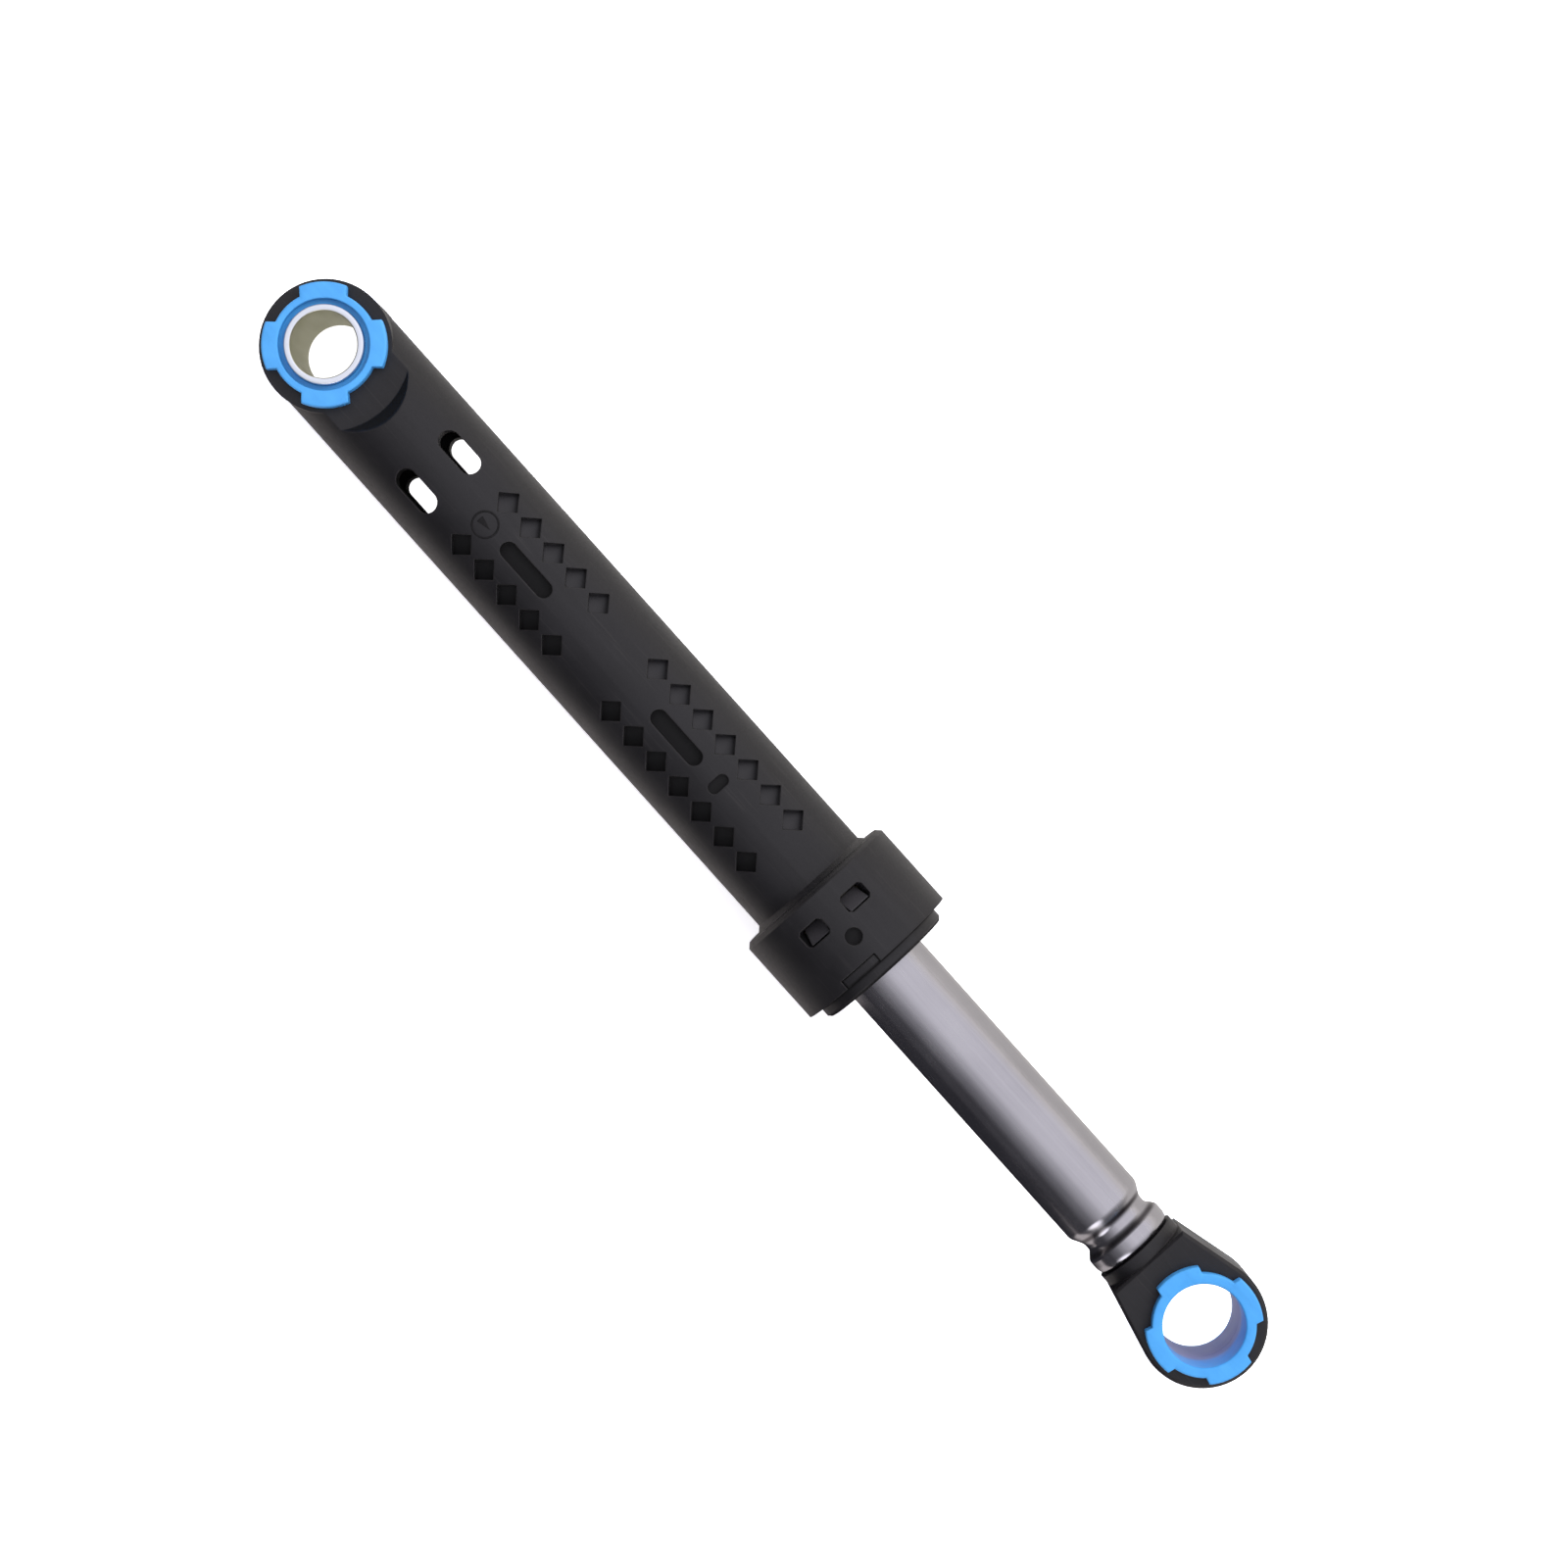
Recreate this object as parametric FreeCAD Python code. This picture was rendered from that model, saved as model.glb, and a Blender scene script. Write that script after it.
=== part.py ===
import FreeCAD, Part
import math
import os

# A friction damper lies as it comes to rest. The strut runs along X from the upper eye, whose
# centre is the origin, to the lower eye, and both eye bores stand along Z. Sizes are in millimetres.

# Strut
eye_distance = 264.5
tube_radius = 9.0
tube_wall = 1.2
tube_start = 94.0
tube_end_setback = 19.3

# Rolled groove and end bead of the tube
groove_setback = 6.9
groove_depth = 1.75
groove_floor = 1.8
groove_run = 1.6
groove_bevel = 0.8
bead_bevel = 0.7

# Barrel
barrel_radius = 13.5
bore_clearance = 0.3
bore_end = 27.0
eye_half_width = 9.9
spot_face_radius = 17.3
spot_face_slope = 39.0

# Vent slots through both walls of the barrel
slot_centre = 34.2
slot_offset = 5.8
slot_length = 10.5
slot_width = 4.4

# Diamond pockets in two rows, on the top and the underside
diamond_side = 4.0
diamond_angle = 27.8
diamond_depth = 1.8
diamond_pitch = 6.78
upper_group_start = 48.2
upper_group_count = 5
lower_group_start = 93.1
lower_group_count = 7

# Oblong recesses on the centre line, on the top and the underside
oblong_length = 14.0
oblong_width = 3.6
oblong_depth = 2.0
upper_oblong_centre = 60.8
lower_oblong_centre = 105.9

# Gate recess across the top
gate_centre = 118.4
gate_length = 4.8
gate_width = 2.6
gate_depth = 0.9

# Collar at the barrel's mouth
collar_start = 146.6
collar_length = 19.6
collar_radius = 18.2
collar_foot_bevel = 1.2
collar_shoulder_bevel = 1.0
collar_floor = 2.1
chamber_radius = 14.7

# Hook windows and moulded dot of the collar
window_setback = 12.8
window_length = 4.0
window_width = 6.0
window_corner = 0.7
window_angle = 17.5
dot_setback = 7.2
dot_radius = 1.8
dot_depth = 1.2

# Key notch in the collar's rim
notch_depth = 2.0
notch_right = 0.8
notch_left = 8.0

# End cap
cap_radius = 15.3
cap_thickness = 2.8
cap_bevel = 0.6
cap_guide_clearance = 0.08
spigot_length = 2.8
spigot_gap = 0.05
hook_thickness = 1.4
hook_width = 4.8
hook_height = 2.7
hook_gap = 0.3
key_gap = 0.15
key_sink = 0.5

# Friction lining
lining_clearance = 0.03
lining_gap = 0.2
lining_slit = 0.8

# Rod head and lower eye
plug_depth = 19.0
plug_clearance = 0.1
neck_gap = 0.1
neck_radius = 9.2
block_setback = 16.6
block_front_width = 18.9
block_bevel = 0.6
lower_eye_radius = 13.2

# Bushes
flange_thickness = 3.0
bush_press_gap = 0.02
bush_meeting_gap = 0.1
lug_count = 4
lug_width = 9.6
lug_root_width = 8.6
upper_bush_wall = 1.7
upper_ring_radius = 10.7
upper_lug_radius = 12.6
upper_lug_turn = 49.0
dish_width = 1.25
dish_depth = 1.6
lower_bore_radius = 8.4
lower_bush_wall = 1.45
lower_ring_radius = 10.5
lower_lug_radius = 11.9
lower_lug_turn = -13.0

# Steel sleeve of the upper eye
sleeve_radius = 8.1
sleeve_wall = 1.35
sleeve_clearance = 0.05
sleeve_proud = 0.1

# Places and fits that follow from the sizes above
full_turn = 360.0
half_turn = 180.0
quarter_turn = 90.0
past = 1.0
tube_end = eye_distance - tube_end_setback
groove_centre = tube_end - groove_setback
bore_radius = tube_radius + bore_clearance
collar_mouth = collar_start + collar_length
chamber_start = collar_start + collar_floor
window_centre = collar_mouth - window_setback
hook_outer = chamber_radius - spigot_gap
hook_inner = hook_outer - hook_thickness
upper_bush_inner = sleeve_radius + sleeve_clearance
upper_spigot_radius = upper_bush_inner + upper_bush_wall
lower_spigot_radius = lower_bore_radius + lower_bush_wall
flange_top = eye_half_width + flange_thickness
block_front = eye_distance - block_setback

origin = FreeCAD.Vector(0, 0, 0)
along_x = FreeCAD.Vector(1, 0, 0)
along_z = FreeCAD.Vector(0, 0, 1)


# A cylinder about the strut
def strut_cylinder(radius, start, end):
    return Part.makeCylinder(radius, end - start, FreeCAD.Vector(start, 0, 0), along_x)


# An upright cylinder
def post(radius, bottom, top, x=0.0, y=0.0):
    return Part.makeCylinder(radius, top - bottom, FreeCAD.Vector(x, y, bottom), along_z)


# An upright prism about x, y, rounded at both ends of its length
def slot_prism(length, width, bottom, top, x, y=0.0):
    reach = (length - width) / 2
    bar = Part.makeBox(2 * reach, width, top - bottom)
    bar = bar.translated(FreeCAD.Vector(x - reach, y - width / 2, bottom))
    ends = [post(width / 2, bottom, top, x + side * reach, y) for side in (-1, 1)]
    return bar.fuse(ends).removeSplitter()


# A face in the plane of X and Z from corners of (x, z, bevel), a bevel being cut back along both edges
def bevelled_face(corners):
    places = []
    for index, (x, z, bevel) in enumerate(corners):
        here = FreeCAD.Vector(x, 0, z)
        if not bevel:
            places.append(here)
            continue
        for other_x, other_z, _ in (corners[index - 1], corners[(index + 1) % len(corners)]):
            towards = FreeCAD.Vector(other_x, 0, other_z) - here
            places.append(here + towards.normalize() * bevel)
    return Part.Face(Part.makePolygon(places + places[:1]))


# A solid turned about the strut from corners in the plane of X and Z
def turned(corners):
    return bevelled_face(corners).revolve(origin, along_x, full_turn)


# The shape and its twin on the underside
def on_both_sides(shape):
    return [shape, shape.rotated(origin, along_x, half_turn)]


# Corners across the rolled groove, at a depth below the tube's outer surface
def groove_corners(depth, bevel):
    base = tube_radius - depth
    slope = math.atan2(groove_depth, groove_run)
    half_floor = groove_floor / 2 + depth * math.tan(slope / 2)
    return [
        (groove_centre - half_floor - groove_run, base, bevel),
        (groove_centre - half_floor, base - groove_depth, 0),
        (groove_centre + half_floor, base - groove_depth, 0),
        (groove_centre + half_floor + groove_run, base, bevel),
    ]


# Barrel: turned outside with a collar at the mouth, joined to the round of the eye
def barrel_outside():
    body = turned([
        (0, 0, 0),
        (0, barrel_radius, 0),
        (collar_start, barrel_radius, collar_foot_bevel),
        (collar_start, collar_radius, collar_shoulder_bevel),
        (collar_mouth, collar_radius, 0),
        (collar_mouth, 0, 0),
    ])
    eye = post(barrel_radius, -eye_half_width, eye_half_width)
    return body.fuse(eye).removeSplitter()


# The flat round the eye's mouth, with a wall that leans out to the top of the barrel
def spot_face():
    height = barrel_radius + past - eye_half_width
    mouth_radius = spot_face_radius + height * math.tan(math.radians(spot_face_slope))
    return Part.makeCone(spot_face_radius, mouth_radius, height, along_z * eye_half_width, along_z)


# The bore for the tube, the chamber for the lining, and the eye with its two spot faces
def barrel_hollows():
    bore = strut_cylinder(bore_radius, bore_end, collar_mouth)
    chamber = strut_cylinder(chamber_radius, chamber_start, collar_mouth + past)
    eye_bore = post(upper_spigot_radius + bush_press_gap, -eye_half_width - past, eye_half_width + past)
    return [bore, chamber, eye_bore] + on_both_sides(spot_face())


# Two slots beside the centre line, open through both walls
def vent_slots():
    reach = barrel_radius + past
    return [slot_prism(slot_length, slot_width, -reach, reach, slot_centre, side * slot_offset)
            for side in (-1, 1)]


# One diamond pocket with upright walls and a floor square to the barrel's radius
def diamond_pocket(x, side):
    floor = barrel_radius - diamond_depth
    y = side * barrel_radius * math.sin(math.radians(diamond_angle))
    prism = Part.makeBox(diamond_side, diamond_side, barrel_radius)
    prism = prism.translated(FreeCAD.Vector(-diamond_side / 2, -diamond_side / 2, 0))
    prism = prism.rotated(origin, along_z, quarter_turn / 2).translated(FreeCAD.Vector(x, y, 0))
    above = Part.makeBox(4 * diamond_side, 4 * diamond_side, barrel_radius)
    above = above.translated(FreeCAD.Vector(x - 2 * diamond_side, -2 * diamond_side, floor))
    return prism.common(above.rotated(origin, along_x, -side * diamond_angle))


# Rows of diamond pockets in two groups along the barrel
def diamond_pockets():
    places = [upper_group_start + index * diamond_pitch for index in range(upper_group_count)]
    places += [lower_group_start + index * diamond_pitch for index in range(lower_group_count)]
    pockets = []
    for x in places:
        for side in (-1, 1):
            pockets += on_both_sides(diamond_pocket(x, side))
    return pockets


# Oblong recesses on the centre line
def oblong_recesses():
    floor = barrel_radius - oblong_depth
    recesses = []
    for x in (upper_oblong_centre, lower_oblong_centre):
        recesses += on_both_sides(slot_prism(oblong_length, oblong_width, floor, barrel_radius + past, x))
    return recesses


# The recess over the moulding gate, long across the barrel
def gate_recess():
    recess = slot_prism(gate_length, gate_width, barrel_radius - gate_depth, barrel_radius + past, 0)
    return recess.rotated(origin, along_z, quarter_turn).translated(along_x * gate_centre)


# Windows for the hooks, the moulded dot and the key notches of the collar
def collar_cuts():
    top = collar_radius + past
    window = Part.makeBox(window_length, window_width, top - hook_inner)
    window = window.makeChamfer(window_corner, [edge for edge in window.Edges if edge.tangentAt(0).z])
    window_start = window_centre - window_length / 2
    window = window.translated(FreeCAD.Vector(window_start, -window_width / 2, hook_inner))
    cuts = [post(dot_radius, collar_radius - dot_depth, top, collar_mouth - dot_setback)]
    for side in (-1, 1):
        cuts += on_both_sides(window.rotated(origin, along_x, side * window_angle))
    cuts += on_both_sides(rim_block(0, past, collar_radius + past))
    return cuts


# The block that cuts a notch in the collar's rim or, smaller by a gap on each side, fills it
def rim_block(gap, overrun, radius):
    length = notch_depth - gap + overrun
    width = notch_left + notch_right - 2 * gap
    block = Part.makeBox(length, width, radius)
    block = block.translated(FreeCAD.Vector(collar_mouth - notch_depth + gap, gap - notch_left, 0))
    ring = strut_cylinder(radius, 0, collar_mouth + overrun)
    return block.common(ring.cut(strut_cylinder(hook_inner, 0, collar_mouth + overrun)))


def make_barrel():
    cuts = barrel_hollows() + vent_slots() + diamond_pockets() + oblong_recesses() + collar_cuts()
    return barrel_outside().cut(cuts + [gate_recess()]).removeSplitter()


# End cap: a turned flange and spigot with four hooked arms and two rim keys
def make_end_cap():
    guide = tube_radius + cap_guide_clearance
    inner_face = collar_mouth - spigot_length
    outer_face = collar_mouth + cap_thickness
    spigot_radius = chamber_radius - spigot_gap
    cap = turned([
        (inner_face, guide, 0),
        (inner_face, spigot_radius, 0),
        (collar_mouth, spigot_radius, 0),
        (collar_mouth, cap_radius, 0),
        (outer_face, cap_radius, cap_bevel),
        (outer_face, guide, 0),
    ])
    additions = []
    for side in (-1, 1):
        additions += on_both_sides(hooked_arm().rotated(origin, along_x, side * window_angle))
    additions += on_both_sides(rim_block(key_gap, 0, collar_radius - key_sink))
    return cap.fuse(additions).removeSplitter()


# One arm on the top: a curved strip of the spigot's radius with a sloped barb at its end
def hooked_arm():
    arm_start = window_centre - window_length / 2 + hook_gap
    barb_end = window_centre + window_length / 2 - hook_gap
    arm_end = collar_mouth - spigot_length + past
    strip = strut_cylinder(hook_outer, arm_start, arm_end)
    strip = strip.cut(strut_cylinder(hook_inner, arm_start - past, arm_end + past))
    bar = Part.makeBox(arm_end - arm_start, hook_width, hook_outer)
    strip = strip.common(bar.translated(FreeCAD.Vector(arm_start, -hook_width / 2, 0)))
    barb = bevelled_face([
        (arm_start, hook_inner + hook_thickness / 2, 0),
        (arm_start, hook_outer, 0),
        (barb_end, hook_outer + hook_height, 0),
        (barb_end, hook_inner + hook_thickness / 2, 0),
    ])
    barb = barb.translated(FreeCAD.Vector(0, -hook_width / 2, 0))
    return strip.fuse(barb.extrude(FreeCAD.Vector(0, hook_width, 0)))


# Friction lining: a foam strip wound round the tube, with a slit where its ends meet
def make_friction_lining():
    start = chamber_start + lining_gap
    end = collar_mouth - spigot_length - lining_gap
    ring = strut_cylinder(hook_inner - lining_gap, start, end)
    ring = ring.cut(strut_cylinder(tube_radius + lining_clearance, start - past, end + past))
    slit = Part.makeBox(end - start, lining_slit, chamber_radius)
    slit = slit.translated(FreeCAD.Vector(start, -lining_slit / 2, -chamber_radius))
    return ring.cut(slit)


# Rod tube: a thin steel tube, rolled into the head's groove before its end bead
def make_rod_tube():
    inner = tube_radius - tube_wall
    outside = [(tube_start, tube_radius, 0)] + groove_corners(0, groove_bevel)
    outside.append((tube_end, tube_radius, bead_bevel))
    inside = [(tube_end, inner, 0)] + groove_corners(tube_wall, 0)[::-1] + [(tube_start, inner, 0)]
    return turned(outside + inside)


# Rod head: a grooved plug and a neck, joined to the flat block of the lower eye
def make_rod_head():
    depth = tube_wall + plug_clearance
    plug_radius = tube_radius - depth
    neck_start = tube_end + neck_gap
    neck_end = eye_distance - lower_eye_radius
    head = turned([
        (tube_end - plug_depth, 0, 0),
        (tube_end - plug_depth, plug_radius, 0),
        (neck_start, plug_radius, 0),
        (neck_start, neck_radius, 0),
        (neck_end, neck_radius, 0),
        (neck_end, 0, 0),
    ])
    first, *_, last = [x for x, _, _ in groove_corners(depth, 0)]
    groove_core = strut_cylinder(plug_radius - groove_depth, first, last)
    groove = strut_cylinder(tube_radius, first, last).cut(groove_core)
    eye_bore = post(lower_spigot_radius + bush_press_gap, -flange_top, flange_top, eye_distance)
    return head.fuse(eye_block()).cut([groove, eye_bore]).removeSplitter()


# The flat block: straight flanks from the front edge, tangent to the round of the lower eye
def eye_block():
    half_front = block_front_width / 2
    reach = math.hypot(block_setback, half_front)
    touch = math.atan2(half_front, -block_setback) - math.acos(lower_eye_radius / reach)
    touch_x = eye_distance + lower_eye_radius * math.cos(touch)
    touch_y = lower_eye_radius * math.sin(touch)
    right_front = FreeCAD.Vector(block_front, -half_front, -eye_half_width)
    left_front = FreeCAD.Vector(block_front, half_front, -eye_half_width)
    left_touch = FreeCAD.Vector(touch_x, touch_y, -eye_half_width)
    right_touch = FreeCAD.Vector(touch_x, -touch_y, -eye_half_width)
    nose = FreeCAD.Vector(eye_distance + lower_eye_radius, 0, -eye_half_width)
    outline = Part.Wire([
        Part.makeLine(right_front, left_front),
        Part.makeLine(left_front, left_touch),
        Part.Arc(left_touch, nose, right_touch).toShape(),
        Part.makeLine(right_touch, right_front),
    ])
    block = Part.Face(outline).extrude(along_z * (2 * eye_half_width))
    flat_rims = [edge for edge in block.Edges
                 if abs(abs(edge.CenterOfMass.z) - eye_half_width) < block_bevel]
    return block.makeChamfer(block_bevel, flat_rims)


# One lug of a flange, wider at its tip, pointing along +X
def lug(lug_radius):
    places = [
        FreeCAD.Vector(0, -lug_root_width / 2, eye_half_width),
        FreeCAD.Vector(lug_radius, -lug_width / 2, eye_half_width),
        FreeCAD.Vector(lug_radius, lug_width / 2, eye_half_width),
        FreeCAD.Vector(0, lug_root_width / 2, eye_half_width),
    ]
    return Part.Face(Part.makePolygon(places + places[:1])).extrude(along_z * flange_thickness)


# A flanged bush half above the middle of the eye, before its bore is opened
def bush_blank(spigot_radius, ring_radius, lug_radius, lug_turn):
    lugs = [lug(lug_radius).rotated(origin, along_z, lug_turn + index * full_turn / lug_count)
            for index in range(lug_count)]
    tips = post(lug_radius, eye_half_width, flange_top)
    ring = post(ring_radius, eye_half_width, flange_top)
    spigot = post(spigot_radius, bush_meeting_gap, eye_half_width)
    return spigot.fuse([ring] + [tips.common(each) for each in lugs]).removeSplitter()


# Upper bush half: a plain bore for the steel sleeve with a dished rim
def make_upper_bush():
    blank = bush_blank(upper_spigot_radius, upper_ring_radius, upper_lug_radius, upper_lug_turn)
    bore = post(upper_bush_inner, 0, flange_top + past)
    dish = post(upper_bush_inner + dish_width, flange_top - dish_depth, flange_top + past)
    return blank.cut([bore, dish])


# Lower bush half: a plain bore for the machine's own pin
def make_lower_bush():
    blank = bush_blank(lower_spigot_radius, lower_ring_radius, lower_lug_radius, lower_lug_turn)
    return blank.cut(post(lower_bore_radius, 0, flange_top + past))


# Steel sleeve that the upper bolt clamps
def make_upper_sleeve():
    half = flange_top + sleeve_proud
    inner = sleeve_radius - sleeve_wall
    return post(sleeve_radius, -half, half).cut(post(inner, -half - past, half + past))


def main():
    upper_front, upper_rear = on_both_sides(make_upper_bush())
    lower_front, lower_rear = on_both_sides(make_lower_bush())
    to_lower_eye = FreeCAD.Vector(eye_distance, 0, 0)
    parts = {
        "barrel": make_barrel(),
        "end_cap": make_end_cap(),
        "friction_lining": make_friction_lining(),
        "upper_bush_front": upper_front,
        "upper_bush_rear": upper_rear,
        "upper_sleeve": make_upper_sleeve(),
        "rod_tube": make_rod_tube(),
        "rod_head": make_rod_head(),
        "lower_bush_front": lower_front.translated(to_lower_eye),
        "lower_bush_rear": lower_rear.translated(to_lower_eye),
    }
    os.makedirs("parts", exist_ok=True)
    for node, shape in parts.items():
        shape.exportStep("parts/" + node + ".step")


if __name__ == "__main__":
    main()
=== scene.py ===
import math

import bpy
import numpy as np
from mathutils import Matrix


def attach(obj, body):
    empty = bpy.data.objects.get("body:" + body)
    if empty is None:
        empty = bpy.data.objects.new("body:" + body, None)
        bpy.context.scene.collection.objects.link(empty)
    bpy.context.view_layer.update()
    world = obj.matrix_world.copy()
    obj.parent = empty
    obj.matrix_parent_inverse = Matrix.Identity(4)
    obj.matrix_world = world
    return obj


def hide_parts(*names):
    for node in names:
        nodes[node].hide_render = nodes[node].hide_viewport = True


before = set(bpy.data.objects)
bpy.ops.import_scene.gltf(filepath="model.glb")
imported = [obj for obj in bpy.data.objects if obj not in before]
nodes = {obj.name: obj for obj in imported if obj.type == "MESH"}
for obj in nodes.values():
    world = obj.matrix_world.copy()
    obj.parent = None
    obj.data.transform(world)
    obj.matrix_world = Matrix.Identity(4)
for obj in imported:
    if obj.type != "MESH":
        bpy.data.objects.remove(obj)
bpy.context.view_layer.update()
mm = 0.001
fullTurn = 2 * np.pi
print("frame loaded with", len(nodes), "nodes")


# a grid of points (rows, columns, 3) becomes a quad mesh; either way round can be closed on itself, and
# where the columns are open their two end rings can be filled
def gridMesh(name, points, closeRows=True, closeColumns=True, fillEnds=False):
    rows, columns = points.shape[:2]
    index = np.arange(rows * columns).reshape(rows, columns)
    ends = [index[:, 0].tolist(), index[::-1, -1].tolist()] if fillEnds else []
    if closeRows:
        index = np.concatenate([index, index[:1]], axis=0)
    if closeColumns:
        index = np.concatenate([index, index[:, :1]], axis=1)
    corners = [index[:-1, :-1], index[:-1, 1:], index[1:, 1:], index[1:, :-1]]
    quads = np.stack(corners, axis=-1).reshape(-1, 4)
    mesh = bpy.data.meshes.new(name)
    mesh.from_pydata(points.reshape(-1, 3).tolist(), [], quads.tolist() + ends)
    mesh.polygons.foreach_set("use_smooth", np.ones(len(mesh.polygons), dtype=bool))
    mesh.validate()
    mesh.update()
    piece = bpy.data.objects.new(name, mesh)
    bpy.context.scene.collection.objects.link(piece)
    return piece


# a closed loop of (x, radius) carried round the strut: each place is (x, r cos t, r sin t)
def turnedAboutStrut(name, along, radius, turns):
    angle = np.linspace(0, fullTurn, turns, endpoint=False)
    x = np.repeat(along[:, None], turns, axis=1)
    y = radius[:, None] * np.cos(angle)
    z = radius[:, None] * np.sin(angle)
    return gridMesh(name, np.stack([x, y, z], axis=-1))


# arc of n places from one angle to another round a centre
def arcPlaces(centreA, centreB, radius, fromDegrees, toDegrees, count):
    angle = np.radians(np.linspace(fromDegrees, toDegrees, count))
    return np.stack([centreA + radius * np.cos(angle), centreB + radius * np.sin(angle)], axis=-1)


# shader helpers
def addNode(tree, kind, **settings):
    made = tree.nodes.new(kind)
    for key, value in settings.items():
        setattr(made, key, value)
    return made


def setInputs(made, **values):
    for key, value in values.items():
        made.inputs[key.replace("_", " ")].default_value = value
    return made


def newGroup(name, inputs, outputs):
    group = bpy.data.node_groups.new(name, "ShaderNodeTree")
    for label, kind, value in inputs:
        socket = group.interface.new_socket(label, in_out="INPUT", socket_type=kind)
        if value is not None:
            socket.default_value = value
    for label, kind in outputs:
        group.interface.new_socket(label, in_out="OUTPUT", socket_type=kind)
    return group, addNode(group, "NodeGroupInput"), addNode(group, "NodeGroupOutput")


# cloudy mottle, fine spark-eroded grain and long flow streaks of a moulding
def makeMouldGroup():
    group, into, out = newGroup(
        "mouldSkin",
        [("Vector", "NodeSocketVector", None), ("Mottle Scale", "NodeSocketFloat", 90.0),
         ("Grain Scale", "NodeSocketFloat", 2600.0), ("Stretch", "NodeSocketVector", (40.0, 500.0, 500.0))],
        [("Mottle", "NodeSocketFloat"), ("Grain", "NodeSocketFloat"), ("Flow", "NodeSocketFloat")],
    )
    link = group.links.new
    mottle = setInputs(addNode(group, "ShaderNodeTexNoise"), Detail=5.0, Roughness=0.55)
    grain = setInputs(addNode(group, "ShaderNodeTexNoise"), Detail=3.0, Roughness=0.6)
    flow = setInputs(addNode(group, "ShaderNodeTexNoise"), Scale=1.0, Detail=3.0)
    stretched = addNode(group, "ShaderNodeVectorMath", operation="MULTIPLY")
    link(into.outputs["Vector"], mottle.inputs["Vector"])
    link(into.outputs["Vector"], grain.inputs["Vector"])
    link(into.outputs["Vector"], stretched.inputs[0])
    link(into.outputs["Stretch"], stretched.inputs[1])
    link(stretched.outputs["Vector"], flow.inputs["Vector"])
    link(into.outputs["Mottle Scale"], mottle.inputs["Scale"])
    link(into.outputs["Grain Scale"], grain.inputs["Scale"])
    link(mottle.outputs["Fac"], out.inputs["Mottle"])
    link(grain.outputs["Fac"], out.inputs["Grain"])
    link(flow.outputs["Fac"], out.inputs["Flow"])
    return group


# softened normal at the corners, and a patchy mask of the corners themselves, which are painted paler as
# rubbed wear and as painted highlight
def makeEdgeGroup():
    group, into, out = newGroup(
        "edgeWearAndHighlight",
        [("Vector", "NodeSocketVector", None), ("Radius", "NodeSocketFloat", 0.0004),
         ("Patch Scale", "NodeSocketFloat", 300.0)],
        [("Edge", "NodeSocketFloat"), ("Soft Normal", "NodeSocketVector")],
    )
    link = group.links.new
    bevel = addNode(group, "ShaderNodeBevel", samples=6)
    geometry = addNode(group, "ShaderNodeNewGeometry")
    dot = addNode(group, "ShaderNodeVectorMath", operation="DOT_PRODUCT")
    corner = setInputs(addNode(group, "ShaderNodeMapRange"), From_Min=0.985, From_Max=0.8,
                       To_Min=0.0, To_Max=1.0)
    patch = setInputs(addNode(group, "ShaderNodeTexNoise"), Detail=4.0, Roughness=0.65)
    spread = setInputs(addNode(group, "ShaderNodeMapRange"), From_Min=0.35, From_Max=0.65,
                       To_Min=0.25, To_Max=1.0)
    edge = addNode(group, "ShaderNodeMath", operation="MULTIPLY")
    link(into.outputs["Radius"], bevel.inputs["Radius"])
    link(bevel.outputs["Normal"], dot.inputs[0])
    link(geometry.outputs["Normal"], dot.inputs[1])
    link(dot.outputs["Value"], corner.inputs["Value"])
    link(into.outputs["Vector"], patch.inputs["Vector"])
    link(into.outputs["Patch Scale"], patch.inputs["Scale"])
    link(patch.outputs["Fac"], spread.inputs["Value"])
    link(corner.outputs["Result"], edge.inputs[0])
    link(spread.outputs["Result"], edge.inputs[1])
    link(edge.outputs["Value"], out.inputs["Edge"])
    link(bevel.outputs["Normal"], out.inputs["Soft Normal"])
    return group


# sparse hair scratches, as a mask
def makeScratchGroup():
    group, into, out = newGroup(
        "hairScratches",
        [("Vector", "NodeSocketVector", None), ("Stretch", "NodeSocketVector", (60.0, 1500.0, 1500.0)),
         ("Amount", "NodeSocketFloat", 0.6)],
        [("Scratch", "NodeSocketFloat")],
    )
    link = group.links.new
    stretched = addNode(group, "ShaderNodeVectorMath", operation="MULTIPLY")
    streak = setInputs(addNode(group, "ShaderNodeTexNoise"), Scale=1.0, Detail=2.0, Distortion=0.2)
    sharp = setInputs(addNode(group, "ShaderNodeMapRange"), From_Min=0.62, From_Max=0.74,
                      To_Min=0.0, To_Max=1.0)
    amount = addNode(group, "ShaderNodeMath", operation="MULTIPLY")
    link(into.outputs["Vector"], stretched.inputs[0])
    link(into.outputs["Stretch"], stretched.inputs[1])
    link(stretched.outputs["Vector"], streak.inputs["Vector"])
    link(streak.outputs["Fac"], sharp.inputs["Value"])
    link(sharp.outputs["Result"], amount.inputs[0])
    link(into.outputs["Amount"], amount.inputs[1])
    link(amount.outputs["Value"], out.inputs["Scratch"])
    return group


mouldGroup = makeMouldGroup()
edgeGroup = makeEdgeGroup()
scratchGroup = makeScratchGroup()


def placeGroup(tree, group, vector, **values):
    made = addNode(tree, "ShaderNodeGroup", node_tree=group)
    tree.links.new(vector, made.inputs["Vector"])
    return setInputs(made, **values)


# colour between two, by a mask
def mixColour(tree, mask, first, second):
    mix = addNode(tree, "ShaderNodeMix", data_type="RGBA")
    tree.links.new(mask, mix.inputs["Factor"])
    for socket, value in ((mix.inputs[6], first), (mix.inputs[7], second)):
        if isinstance(value, bpy.types.NodeSocket):
            tree.links.new(value, socket)
        else:
            socket.default_value = (*value, 1.0)
    return mix.outputs[2]


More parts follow.
